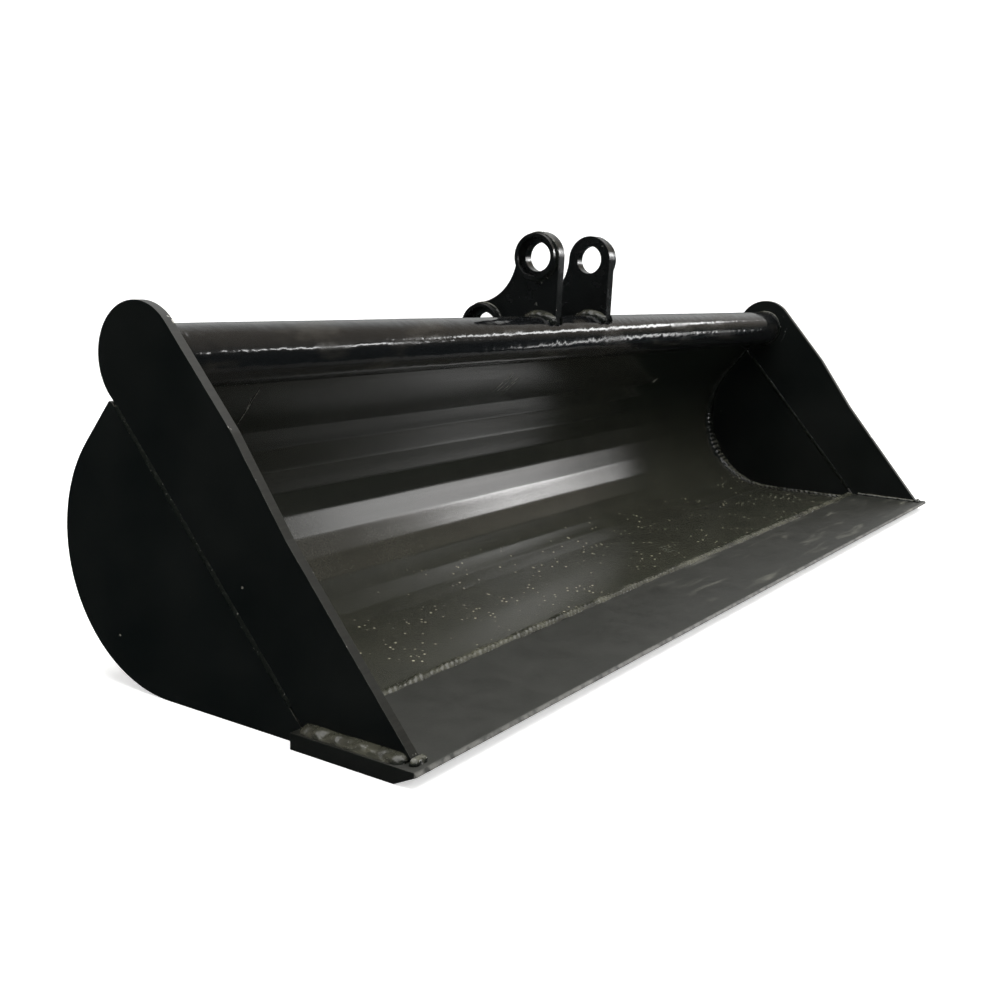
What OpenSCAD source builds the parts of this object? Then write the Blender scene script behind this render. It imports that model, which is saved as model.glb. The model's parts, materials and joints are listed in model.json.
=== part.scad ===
// Ditching bucket for a small excavator: a press-braked shell plate between two
// flat cheeks, a wide bevelled cutting edge, side strips that end in round lobes,
// a torque tube across the top and two pin ears with collars, all welded together.
//
// Frame: +X along the width, +Y from the lip towards the back, +Z up.
// The origin is under the middle of the bucket, on the plane that it rests on.
// Outlines are drawn in the side plane as [distance behind the lip, height].

/* [Body] */
// Width over the outer faces of the two sides
body_w = 1200; // [700:10:1400]
// Thickness of the cheeks and the side strips
side_t = 8; // [6:1:10]

/* [Cutting edge] */
// Depth of the cutting edge from the lip to its rear face
edge_d = 105; // [104:1:115]
// Thickness of the cutting edge
edge_t = 12; // [10:1:14]
// How far the cutting edge stands out past each side
edge_over = 11; // [10:1:20]
// Length of the bevel under the lip
bevel_len = 18; // [10:1:30]
// Height of the blunt nose left by the bevel
nose_h = 3; // [2:0.5:5]
// How far the nose leans back at its top
nose_lean = 2; // [0:0.5:4]

/* [Shell plate] */
// Thickness of the shell plate
shell_t = 5; // [4:0.5:6]
// Outer radius of the belly
belly_r = 110; // [106:1:113]
// Distance of the belly's centre behind the lip
belly_y = 233.5; // [230:0.5:238]
// Number of flats that the press brake leaves round the belly
flats = 10; // [9:1:10]
// Turn from one flat to the next, in degrees
bend_turn = 12.25; // [12:0.05:12.5]
// Where the floor meets the first bend, in degrees below the horizontal
floor_bend = 86; // [85:1:88]

/* [Torque tube] */
// Outer diameter of the tube
tube_d = 48.3; // [42:0.1:52]
// Wall of the tube
tube_wall = 4; // [3:0.5:6]
// Distance of the tube's axis behind the lip
tube_y = 260.5; // [258:0.5:263]
// Height of the tube's axis
tube_z = 245.5; // [244:0.5:249]

/* [Side strips] */
// Radius of the round lobe that covers the tube's end
lobe_r = 40.5; // [39:0.5:42]
// Distance of the strip's front foot behind the lip
strip_foot = 10.5; // [8:0.5:14]
// Where the round lobe ends behind the tube, in degrees below the horizontal
lobe_stop = 42; // [38:1:42]
// How far the front edge dips in from a straight line, lower down
waist = 2; // [0:0.5:3]
// Where along the front edge the dip is, as a share of its length
waist_at = 0.49; // [0.4:0.01:0.55]
// How far the front edge bows out from a straight line, higher up
crown = 3; // [0.5:0.5:4]
// Where along the front edge the bow is, as a share of its length
crown_at = 0.73; // [0.65:0.01:0.8]
// Slope of the joint between strip and cheek, in degrees
seam_slope = 47.7; // [47:0.1:48.5]
// How much of the cheek's top corner is cut off along that joint
corner_cut = 3; // [2:0.5:4]

/* [Ears] */
// Clear gap between the two ears
ear_gap = 99; // [80:1:120]
// Thickness of an ear plate
ear_t = 12; // [10:1:16]
// Radius of the ear round each pin
ear_r = 26; // [26:0.5:28]
// Radius of the concave neck between the two pins
neck_r = 52; // [44:1:60]
// Distance of the ear's front foot behind the lip
ear_foot = 242; // [240:0.5:244]
// Where the ear's tail ends on the belly, in degrees above the horizontal
tail_at = 13; // [10:1:15]
// Height of the tail's blunt end
tail_h = 8; // [5:1:12]

/* [Pins] */
// Diameter of the machine's pins
pin_d = 30; // [25:1:30]
// Radial room round a pin
pin_room = 0.15; // [0.05:0.05:0.3]
// Distance of the front pin behind the lip
pin_y = 267; // [265:0.5:269]
// Height of the front pin
pin_z = 331; // [329:0.5:334]
// Distance between the two pins
pin_gap = 100; // [96:1:104]
// Slope of the line from the front pin to the rear pin, in degrees
pin_slope = -49; // [-51:0.5:-47]
// Length of the collar round a pin hole, a slice of the torque tube
collar_t = 8; // [5:1:12]

/* [Welds] */
// How far the bead behind the cutting edge spreads over the shell's floor
seam_leg = 11; // [6:1:14]
// Leg of the fillet between the shell and each side
side_weld = 7; // [4:0.5:8]
// Leg of the fillet outside, along the foot of a side strip
ledge_weld = 10; // [4:0.5:10]
// Leg of the fillet inside, along the foot of a side strip
foot_weld = 5; // [3:0.5:6]
// Leg of the fillet round each end of the tube
tube_weld = 6; // [3:0.5:7]
// Leg of the fillets between an ear and the bucket
ear_weld = 8; // [5:0.5:8]
// Leg of the fillet round a collar
collar_weld = 1.6; // [1:0.1:1.8]
// Root gap between strip and cheek
root_gap = 2; // [1:0.5:3]
// Width of the bead on that joint
cap_w = 4; // [3.5:0.5:6]
// Height of the bead on that joint
cap_h = 0.8; // [0.5:0.1:1.5]

/* [Hidden] */

$fn = 96;
ARC_STEP = 3;         // degrees between the points of a plate outline's arcs
LEFT = -1;
RIGHT = 1;
PAINT = "#1c1e1e";
PAINT_EDGE = "#2b2d2b";
WELD = "#4a4a46";

in_x = body_w / 2 - side_t;           // inner face of a side
out_x = body_w / 2;                   // outer face of a side
tube_r = tube_d / 2;
hole_r = pin_d / 2 + pin_room;
ear_x = ear_gap / 2 + ear_t;          // outer face of an ear
belly = [belly_y, belly_r];
tube = [tube_y, tube_z];
front_pin = [pin_y, pin_z];
rear_pin = front_pin + pin_gap * [cos(pin_slope), sin(pin_slope)];
depth = rear_pin[0] + ear_r;          // from the lip to the back of the rear lobes

// ---- plane geometry ----

function polar(c, r, a) = c + r * [cos(a), sin(a)];
function angle_of(v) = atan2(v[1], v[0]);
function unit(v) = v / norm(v);
function left_of(v) = [-v[1], v[0]];
function reversed(list) = [for (i = [len(list) - 1 : -1 : 0]) list[i]];

// Points of an arc from angle a to angle b, both included
function arc(c, r, a, b) =
    let (n = ceil(abs(b - a) / ARC_STEP))
    [for (i = [0 : n]) polar(c, r, a + (b - a) * i / n)];

// Angle on a circle where the line from an outside point touches it; turn is +1 or -1
function touch(c, r, point, turn) =
    angle_of(point - c) + turn * acos(r / norm(point - c));

// Direction of the path from point i to point i + 1, held at the ends
function heading(path, i) =
    let (k = min(max(i, 0), len(path) - 2)) unit(path[k + 1] - path[k]);

// The path moved sideways by d, to its left, with mitred corners
function beside(path, d) = [
    for (i = [0 : len(path) - 1])
        let (a = left_of(heading(path, i - 1)), b = left_of(heading(path, i)))
        path[i] + d * (a + b) / (1 + a * b)
];

// ---- side plane outlines ----

// Middle of the shell plate: floor, bends round the belly, and straight on to the tube's axis
mid_r = belly_r - shell_t / 2;
last_bend = flats * bend_turn - floor_bend;
shell_mid = concat(
    [[edge_d, shell_t / 2], [belly_y + mid_r * cos(floor_bend), shell_t / 2]],
    [for (k = [1 : flats]) polar(belly, mid_r, k * bend_turn - floor_bend)],
    [tube]
);
shell_in = beside(shell_mid, shell_t / 2);
shell_out = beside(shell_mid, -shell_t / 2);
back_dir = heading(shell_mid, flats + 1);        // up the back panel
back_out = angle_of(-left_of(back_dir));         // the back panel's outward direction

// The joint between strip and cheek runs from the edge's top to the back panel's outer face
seam_dir = [cos(seam_slope), sin(seam_slope)];
seam_low = [edge_d - root_gap / 2 / sin(seam_slope), edge_t];
full_len = (belly_r - (seam_low - belly) * polar([0, 0], 1, back_out))
    / (seam_dir * polar([0, 0], 1, back_out));
corner = seam_low + full_len * seam_dir;
seam_len = full_len - corner_cut;
seam_top = seam_low + seam_len * seam_dir;

// A band along that joint, w wide, from a to b along it
module seam_band(w, a, b) {
    side = left_of(seam_dir) * w / 2;
    polygon([
        seam_low + a * seam_dir - side, seam_low + b * seam_dir - side,
        seam_low + b * seam_dir + side, seam_low + a * seam_dir + side
    ]);
}

module cheek_outline() {
    half_gap = -left_of(seam_dir) * root_gap / 2;
    polygon(concat(
        [[edge_d, edge_t], [edge_d, 0]],
        arc(belly, belly_r, -90, back_out),
        [corner - corner_cut * back_dir, seam_top + half_gap]
    ));
}

module strip_outline() {
    low = [strip_foot, edge_t];
    straight = polar(tube, lobe_r, touch(tube, lobe_r, low, -1));
    across = left_of(unit(straight - low));
    dip = low + waist_at * (straight - low) - waist * across;
    bow = low + crown_at * (straight - low) + crown * across;
    half_gap = left_of(seam_dir) * root_gap / 2;
    foot = seam_low[0] - root_gap / 2 / sin(seam_slope);
    polygon(concat(
        [[foot, edge_t], low, dip, bow],
        arc(tube, lobe_r, touch(tube, lobe_r, bow, -1) + 360, -lobe_stop),
        [seam_top + half_gap]
    ));
}

module shell_outline() {
    difference() {
        polygon(concat(shell_in, reversed(shell_out)));
        translate(tube) circle(r = tube_r);
    }
}

// All that lies inside the shell's outer face
module shell_envelope() {
    polygon(concat([[edge_d, belly_r]], shell_out));
}

// The ear plate saddles the tube and lies along the back panel down to its tail
module ear_outline() {
    tail = polar(belly, belly_r, tail_at);
    tail_out = polar(belly, belly_r + tail_h, tail_at);
    foot = [ear_foot, tube_z + sqrt(pow(tube_r, 2) - pow(tube_y - ear_foot, 2))];
    reach = ear_r + neck_r;
    neck_turn = acos(pin_gap / 2 / reach);
    neck = polar(front_pin, reach, pin_slope + neck_turn);
    difference() {
        polygon(concat(
            [tube, foot],
            arc(front_pin, ear_r, touch(front_pin, ear_r, foot, -1) + 360,
                pin_slope + neck_turn),
            arc(neck, neck_r, pin_slope + neck_turn + 180, pin_slope - neck_turn + 360),
            arc(rear_pin, ear_r, pin_slope + 180 - neck_turn,
                touch(rear_pin, ear_r, tail_out, 1)),
            [tail_out, tail]
        ));
        translate(tube) circle(r = tube_r);
        shell_envelope();
        for (pin = [front_pin, rear_pin]) translate(pin) circle(r = hole_r);
    }
}

// ---- placing ----

// Stands a side plane outline up as a plate from x to x + t
module plate(x, t) {
    translate([x, -depth / 2, 0]) rotate([90, 0, 90]) linear_extrude(t) children();
}

// Sets what was turned about Z on an axis along X through a side plane point
module on_axis(x, point) {
    translate([x, point[0] - depth / 2, point[1]]) rotate([90, 0, 90]) children();
}

// What is drawn for the right side, on the side asked for
module on_side(side) {
    if (side == RIGHT) children();
    else mirror([1, 0, 0]) children();
}

// A triangular fillet along a side plane path: one leg lies on the plate whose face is at x,
// the other on the surface that the path follows. grow is the X direction away from the plate.
module fillet_run(path, leg, x, grow, up) {
    lift = beside(path, up * leg);
    n = len(path);
    points = [
        for (i = [0 : n - 1])
            for (p = [[x, path[i]], [x + grow * leg, path[i]], [x, lift[i]]])
                [p[0], p[1][0] - depth / 2, p[1][1]]
    ];
    walls = [
        for (i = [0 : n - 2], k = [0 : 2])
            let (a = 3 * i + k, b = 3 * i + (k + 1) % 3)
            [a, b, b + 3, a + 3]
    ];
    faces = concat(walls, [[2, 1, 0]], [[3 * n - 3, 3 * n - 2, 3 * n - 1]]);
    flipped = grow * up > 0;
    polyhedron(points, [for (f = faces) flipped ? f : reversed(f)]);
}

// A triangular fillet ring on the face at x, from angle a to angle b round a point
module fillet_ring(x, grow, point, r, leg, a = 0, b = 360) {
    on_axis(x, point)
        mirror([0, 0, grow > 0 ? 0 : 1])
            rotate([0, 0, a])
                rotate_extrude(angle = b - a)
                    polygon([[r, 0], [r + leg, 0], [r, leg]]);
}

// ---- plates, tube and edge ----

module shell_plate() {
    color(PAINT) plate(-in_x, 2 * in_x) shell_outline();
}

module cutting_edge() {
    color(PAINT_EDGE)
        plate(-out_x - edge_over, body_w + 2 * edge_over)
            polygon([
                [0, edge_t - nose_h], [nose_lean, edge_t], [edge_d, edge_t],
                [edge_d, 0], [bevel_len, 0]
            ]);
}

module torque_tube() {
    color(PAINT)
        on_axis(-in_x, tube)
            difference() {
                cylinder(r = tube_r, h = 2 * in_x);
                translate([0, 0, -1]) cylinder(r = tube_r - tube_wall, h = 2 * in_x + 2);
            }
}

module cheek_plate(side) {
    color(PAINT) on_side(side) plate(in_x, side_t) cheek_outline();
}

module side_strip(side) {
    color(PAINT_EDGE) on_side(side) plate(in_x, side_t) strip_outline();
}

module ear(side) {
    color(PAINT) on_side(side) plate(ear_gap / 2, ear_t) ear_outline();
}

module collar(side, pin) {
    color(PAINT_EDGE)
        on_side(side)
            on_axis(ear_x, pin)
                difference() {
                    cylinder(r = tube_r, h = collar_t);
                    translate([0, 0, -1]) cylinder(r = tube_r - tube_wall, h = collar_t + 2);
                }
}

// ---- weld beads ----

// Along the step from the shell's floor up to the cutting edge
module edge_seam_weld() {
    x = in_x - side_weld;
    color(WELD) plate(-x, 2 * x)
        polygon([[edge_d, shell_t], [edge_d + seam_leg, shell_t], [edge_d, edge_t]]);
}

// Along the tube on the back panel's two faces; outside it stops at the ears
module tube_seam_weld() {
    x = in_x - tube_weld;
    inner = -1;
    outer = 1;
    ear_in = ear_gap / 2 - ear_weld;
    ear_out = ear_x + ear_weld;
    color(WELD) {
        plate(-x, 2 * x) tube_bead(inner);
        for (run = [[-x, -ear_out], [-ear_in, ear_in], [ear_out, x]])
            plate(run[0], run[1] - run[0]) tube_bead(outer);
    }
}

// Section of the bead between the tube and one face of the back panel
module tube_bead(face) {
    out = polar([0, 0], 1, back_out);
    foot = tube + face * shell_t / 2 * out;
    reach = sqrt(pow(tube_r, 2) - pow(shell_t / 2, 2));
    wrap = tube_weld / tube_r * 180 / PI + asin(shell_t / 2 / tube_r);
    difference() {
        polygon([
            foot - (reach - tube_weld / 2) * back_dir,
            foot - (reach + tube_weld) * back_dir,
            polar(tube, tube_r, angle_of(-back_dir) + face * wrap)
        ]);
        translate(tube) circle(r = tube_r);
    }
}

// Along the shell's inner face from the cutting edge up to the tube's own weld
module shell_weld(side) {
    stop = tube - (tube_r + tube_weld + 1) * back_dir;
    end = stop + left_of(back_dir) * shell_t / 2;
    run = concat([for (i = [0 : flats + 1]) shell_in[i]], [end]);
    color(WELD) on_side(side) fillet_run(run, side_weld, in_x, -1, 1);
}

// Fills the joint between strip and cheek and stands a little proud on both faces
module strip_weld(side) {
    out_from = (ledge_weld + 2) / sin(seam_slope);
    in_from = (foot_weld + 2) / sin(seam_slope);
    to = seam_len - 3;
    in_to = seam_len - shell_t - side_weld - 5;
    color(WELD) on_side(side) {
        plate(in_x, side_t) seam_band(root_gap, 1, to);
        plate(out_x, cap_h) seam_band(cap_w, out_from, to);
        plate(in_x - cap_h, cap_h) seam_band(cap_w, in_from, in_to);
    }
}

// Along a strip's foot: outside on the edge's ledge, inside on the edge's top
module foot_fillet(side, x, grow, leg) {
    color(WELD)
        on_side(side)
            translate([0, seam_low[0] - root_gap / 2 - depth / 2, edge_t])
                rotate([90, 0, 0])
                    linear_extrude(seam_low[0] - root_gap / 2 - strip_foot - leg)
                        polygon([[x, 0], [x + grow * leg, 0], [x, leg]]);
}

// Round the tube's end, cut back where the shell plate stands
module tube_weld_ring(side) {
    color(WELD)
        on_side(side)
            difference() {
                fillet_ring(in_x, -1, tube, tube_r, tube_weld);
                plate(in_x - tube_weld - 1, tube_weld + 2) shell_outline();
            }
}

// Both faces of an ear: round the tube, and down the back panel to the tail
module ear_weld_beads(side) {
    foot = angle_of([ear_foot - tube_y, sqrt(pow(tube_r, 2) - pow(tube_y - ear_foot, 2))]);
    rear = angle_of(-back_dir) + asin((shell_t / 2) / tube_r) + 2;
    start = tube - (tube_r + ear_weld + 1) * back_dir - left_of(back_dir) * shell_t / 2;
    bends_down = floor((last_bend - tail_at) / bend_turn);
    last = shell_out[flats + 1 - bends_down];
    next = shell_out[flats - bends_down];
    share = (last_bend - bends_down * bend_turn - tail_at) / bend_turn;
    run = concat(
        [start],
        [for (k = [0 : bends_down]) shell_out[flats + 1 - k]],
        [last + (share - 0.1) * (next - last)]
    );
    color(WELD)
        on_side(side)
            for (face = [[ear_gap / 2, -1], [ear_x, 1]]) {
                fillet_ring(face[0], face[1], tube, tube_r, ear_weld, rear, foot);
                fillet_run(run, ear_weld, face[0], face[1], 1);
            }
}

// Round the two collars of an ear
module collar_weld_rings(side) {
    color(WELD)
        on_side(side)
            for (pin = [front_pin, rear_pin])
                fillet_ring(ear_x, 1, pin, tube_r, collar_weld);
}

// ---- nodes ----

shell_plate();
cutting_edge();
torque_tube();
cheek_plate(LEFT);  // left_cheek_plate
cheek_plate(RIGHT);  // right_cheek_plate
side_strip(LEFT);  // left_side_strip
side_strip(RIGHT);  // right_side_strip
ear(LEFT);  // left_ear
ear(RIGHT);  // right_ear
collar(LEFT, front_pin);  // left_front_collar
collar(RIGHT, front_pin);  // right_front_collar
collar(LEFT, rear_pin);  // left_rear_collar
collar(RIGHT, rear_pin);  // right_rear_collar
edge_seam_weld();
tube_seam_weld();
shell_weld(LEFT);  // left_shell_weld
shell_weld(RIGHT);  // right_shell_weld
strip_weld(LEFT);  // left_strip_weld
strip_weld(RIGHT);  // right_strip_weld
foot_fillet(LEFT, out_x, 1, ledge_weld);  // left_ledge_weld
foot_fillet(RIGHT, out_x, 1, ledge_weld);  // right_ledge_weld
foot_fillet(LEFT, in_x, -1, foot_weld);  // left_foot_weld
foot_fillet(RIGHT, in_x, -1, foot_weld);  // right_foot_weld
tube_weld_ring(LEFT);  // left_tube_weld
tube_weld_ring(RIGHT);  // right_tube_weld
ear_weld_beads(LEFT);  // left_ear_weld
ear_weld_beads(RIGHT);  // right_ear_weld
collar_weld_rings(LEFT);  // left_collar_weld
collar_weld_rings(RIGHT);  // right_collar_weld
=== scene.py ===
# A wide ditching bucket for a small excavator: plates, tube, weld beads, paint and studio.
# Side plane points are (y, z) in millimetres: y is the distance behind the lip, z the height.
import bmesh
import bpy
import json
import math
from mathutils import Matrix, Vector, noise


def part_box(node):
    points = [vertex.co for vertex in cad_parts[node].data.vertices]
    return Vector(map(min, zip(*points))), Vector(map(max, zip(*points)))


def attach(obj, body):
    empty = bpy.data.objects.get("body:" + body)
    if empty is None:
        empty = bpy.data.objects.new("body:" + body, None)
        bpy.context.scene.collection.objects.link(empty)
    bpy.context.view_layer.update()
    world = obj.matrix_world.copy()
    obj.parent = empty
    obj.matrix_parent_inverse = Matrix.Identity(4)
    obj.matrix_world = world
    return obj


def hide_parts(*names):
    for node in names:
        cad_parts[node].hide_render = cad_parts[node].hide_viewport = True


bl_info = {
    "name": "Ditching Bucket",
    "version": (1, 0, 0),
    "blender": (4, 5, 0),
    "location": "View3D > Sidebar > Bucket",
    "description": "Builds an excavator's ditching bucket on its CAD frame, with welds, paint and a studio",
    "category": "Object",
}

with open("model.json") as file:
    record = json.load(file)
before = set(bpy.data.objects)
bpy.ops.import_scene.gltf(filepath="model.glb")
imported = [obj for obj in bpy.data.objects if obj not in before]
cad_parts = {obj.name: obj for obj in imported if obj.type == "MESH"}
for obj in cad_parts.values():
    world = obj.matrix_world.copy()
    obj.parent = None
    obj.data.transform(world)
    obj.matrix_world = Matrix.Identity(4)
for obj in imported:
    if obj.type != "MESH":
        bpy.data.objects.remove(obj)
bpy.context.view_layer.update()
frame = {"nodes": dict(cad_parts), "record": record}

MM = 0.001
BODY = "root"
LEFT = -1
RIGHT = 1
SIDES = ((LEFT, "left"), (RIGHT, "right"))

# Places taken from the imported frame, in millimetres
TIP_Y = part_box("cutting_edge")[0].y / MM
EDGE_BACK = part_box("cutting_edge")[1].y / MM - TIP_Y
EDGE_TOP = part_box("cutting_edge")[1].z / MM
EDGE_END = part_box("cutting_edge")[1].x / MM
IN_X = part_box("shell_plate")[1].x / MM
OUT_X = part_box("right_cheek_plate")[1].x / MM
TUBE_LOW, TUBE_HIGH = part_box("torque_tube")
TUBE_R = (TUBE_HIGH.z - TUBE_LOW.z) / 2 / MM
TUBE = Vector(((TUBE_HIGH.y + TUBE_LOW.y) / 2 / MM - TIP_Y, (TUBE_HIGH.z + TUBE_LOW.z) / 2 / MM))
EAR_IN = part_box("right_ear")[0].x / MM
EAR_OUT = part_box("right_ear")[1].x / MM
PINS = [
    Vector((mount["pos_m"][1] / MM - TIP_Y, mount["pos_m"][2] / MM))
    for mount in frame["record"]["mounts"] if mount["kind"] == "bore"
]


# ---- small helpers ----

def at(x, point):
    """Frame position, in metres, of a side plane point at x millimetres across."""
    return Vector((x, TIP_Y + point[0], point[1])) * MM


def across(v):
    """Frame direction of a side plane direction."""
    return Vector((0, v[0], v[1]))


def turned(angle):
    """Side plane unit vector at an angle in degrees."""
    a = math.radians(angle)
    return Vector((math.cos(a), math.sin(a)))


def left_of(v):
    return Vector((-v[1], v[0]))


def angle_of(v):
    return math.degrees(math.atan2(v[1], v[0]))


def linear(code):
    """Linear colour of an sRGB hex value."""
    parts = [int(code[i:i + 2], 16) / 255 for i in (0, 2, 4)]
    return [c / 12.92 if c <= 0.04045 else ((c + 0.055) / 1.055) ** 2.4 for c in parts] + [1.0]


def wave(x, y, z, seed=0.0):
    """Smooth noise from -1 to 1; the same every time for the same seed."""
    return noise.noise(Vector((x + seed * 17.3, y - seed * 5.1, z + seed * 9.7)))


# ---- what a user would change ----

class BucketSizes(bpy.types.PropertyGroup):
    shell_t: bpy.props.FloatProperty(
        name="Shell thickness", description="Thickness of the pressed shell plate",
        default=5 * MM, min=3 * MM, max=8 * MM, unit="LENGTH")
    belly_r: bpy.props.FloatProperty(
        name="Belly radius", description="Outer radius that the shell's bends lie on",
        default=110 * MM, unit="LENGTH")
    belly_y: bpy.props.FloatProperty(
        name="Belly centre", description="Distance of the belly's centre behind the lip",
        default=233.5 * MM, unit="LENGTH")
    bends: bpy.props.IntProperty(
        name="Bends", description="Press brake bends round the belly", default=10, min=4, max=20)
    bend_turn: bpy.props.FloatProperty(
        name="Bend angle", description="Turn of the plate at each bend",
        default=math.radians(12.25), subtype="ANGLE")
    floor_bend: bpy.props.FloatProperty(
        name="First bend", description="Where the first bend lies, below the belly's centre",
        default=math.radians(86), subtype="ANGLE")
    bend_round: bpy.props.FloatProperty(
        name="Bend rounding", description="Radius of the rounding in each bend",
        default=22 * MM, unit="LENGTH")
    plate_wave: bpy.props.FloatProperty(
        name="Plate waviness", description="How far the pressed plate strays from flat",
        default=0.16 * MM, unit="LENGTH")
    edge_soft: bpy.props.FloatProperty(
        name="Edge softening", description="Rounding of the cut plate edges under the paint",
        default=0.7 * MM, unit="LENGTH")
    seam_pitch: bpy.props.FloatProperty(
        name="Seam ripple", description="Distance between the ripples of the long floor seam",
        default=6.5 * MM, unit="LENGTH")
    fillet: bpy.props.FloatProperty(
        name="Shell weld leg", description="Leg of the fillet welds between shell and sides",
        default=8.5 * MM, unit="LENGTH")


class BucketColours(bpy.types.PropertyGroup):
    shell: bpy.props.FloatVectorProperty(
        name="Shell paint", description="Satin black of the pressed shell", subtype="COLOR",
        size=4, default=linear("0d0f0c"), min=0, max=1)
    side: bpy.props.FloatVectorProperty(
        name="Side paint", description="Deep black of the sides", subtype="COLOR",
        size=4, default=linear("040808"), min=0, max=1)
    gloss: bpy.props.FloatVectorProperty(
        name="Gloss paint", description="Gloss black of tube and ears", subtype="COLOR",
        size=4, default=linear("0c0d0e"), min=0, max=1)
    dust: bpy.props.FloatVectorProperty(
        name="Dust", description="Dry workshop dust lying on the floor", subtype="COLOR",
        size=4, default=linear("6d6c5d"), min=0, max=1)
    worn: bpy.props.FloatVectorProperty(
        name="Worn steel", description="Steel showing through at nicks and along the lip",
        subtype="COLOR", size=4, default=linear("b9b8b0"), min=0, max=1)


def sizes():
    return bpy.context.scene.bucket_sizes


def colours():
    return bpy.context.scene.bucket_colours


# ---- meshes ----

def make_piece(name, verts, faces, material, node, sharp=40):
    """A smooth shaded piece that stands for a CAD node and rides with the bucket."""
    mesh = bpy.data.meshes.new(name)
    mesh.from_pydata(verts, [], faces)
    work = bmesh.new()
    work.from_mesh(mesh)
    bmesh.ops.recalc_face_normals(work, faces=work.faces)
    work.to_mesh(mesh)
    work.free()
    mesh.shade_smooth()
    mesh.set_sharp_from_angle(angle=math.radians(sharp))
    mesh.materials.append(material)
    piece = bpy.data.objects.new(name, mesh)
    bpy.context.scene.collection.objects.link(piece)
    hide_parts(node)
    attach(piece, BODY)
    return piece


def refine_node(node, material, soft=1.0):
    """A CAD plate keeps its shape; its cut edges are softened and it gets its paint."""
    piece = frame["nodes"][node]
    piece.material_slots[0].link = "OBJECT"
    piece.material_slots[0].material = material
    weld = piece.modifiers.new("Join faces", "WELD")
    weld.merge_threshold = 0.01 * MM
    bevel = piece.modifiers.new("Soft edges", "BEVEL")
    bevel.width = sizes().edge_soft * soft
    bevel.segments = 3
    bevel.limit_method = "ANGLE"
    bevel.angle_limit = math.radians(35)
    piece.modifiers.new("Even shading", "WEIGHTED_NORMAL").keep_sharp = True
    return piece


def rounded(path, radius, steps=4):
    """The path with each inner corner turned into an arc."""
    out = [path[0].copy()]
    for before, corner, after in zip(path, path[1:], path[2:]):
        a = (before - corner).normalized()
        b = (after - corner).normalized()
        half = a.angle(b) / 2
        reach = min(radius / math.tan(half), 0.4 * (before - corner).length,
                    0.4 * (after - corner).length)
        start, end = corner + a * reach, corner + b * reach
        for i in range(steps + 1):
            t = i / steps
            out.append(start * (1 - t) ** 2 + corner * 2 * t * (1 - t) + end * t * t)
    out.append(path[-1].copy())
    return out


def divided(path, step):
    """The path with points added so that none are further apart than step."""
    out = [path[0].copy()]
    for a, b in zip(path, path[1:]):
        n = max(1, math.ceil((b - a).length / step))
        out += [a.lerp(b, (i + 1) / n) for i in range(n)]
    return out


def normals(path):
    """Unit vectors to the left of the path at each point."""
    out = []
    for i in range(len(path)):
        a = path[max(i - 1, 0)]
        b = path[min(i + 1, len(path) - 1)]
        out.append(left_of((b - a).normalized()))
    return out


def shell_middle():
    """Side plane path of the shell plate's middle, from the cutting edge up to the tube."""
    s = sizes()
    half = s.shell_t / MM / 2
    belly = Vector((s.belly_y, s.belly_r)) / MM
    mid_r = s.belly_r / MM - half
    turn = math.degrees(s.bend_turn)
    first = math.degrees(s.floor_bend)
    path = [Vector((EDGE_BACK, half)), Vector((belly.x + mid_r * math.cos(s.floor_bend), half))]
    path += [belly + mid_r * turned(k * turn - first) for k in range(1, s.bends + 1)]
    back = (TUBE - path[-1]).normalized()
    path.append(TUBE - back * (TUBE_R - 0.4))
    return path


def shell_face(inward, step=6):
    """The shell's inner or outer face as a finely divided side plane path."""
    s = sizes()
    path = divided(rounded(shell_middle(), s.bend_round / MM), step)
    lift = s.shell_t / MM / 2 * (1 if inward else -1)
    return [p + n * lift for p, n in zip(path, normals(path))]


# ---- weld beads ----

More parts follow.
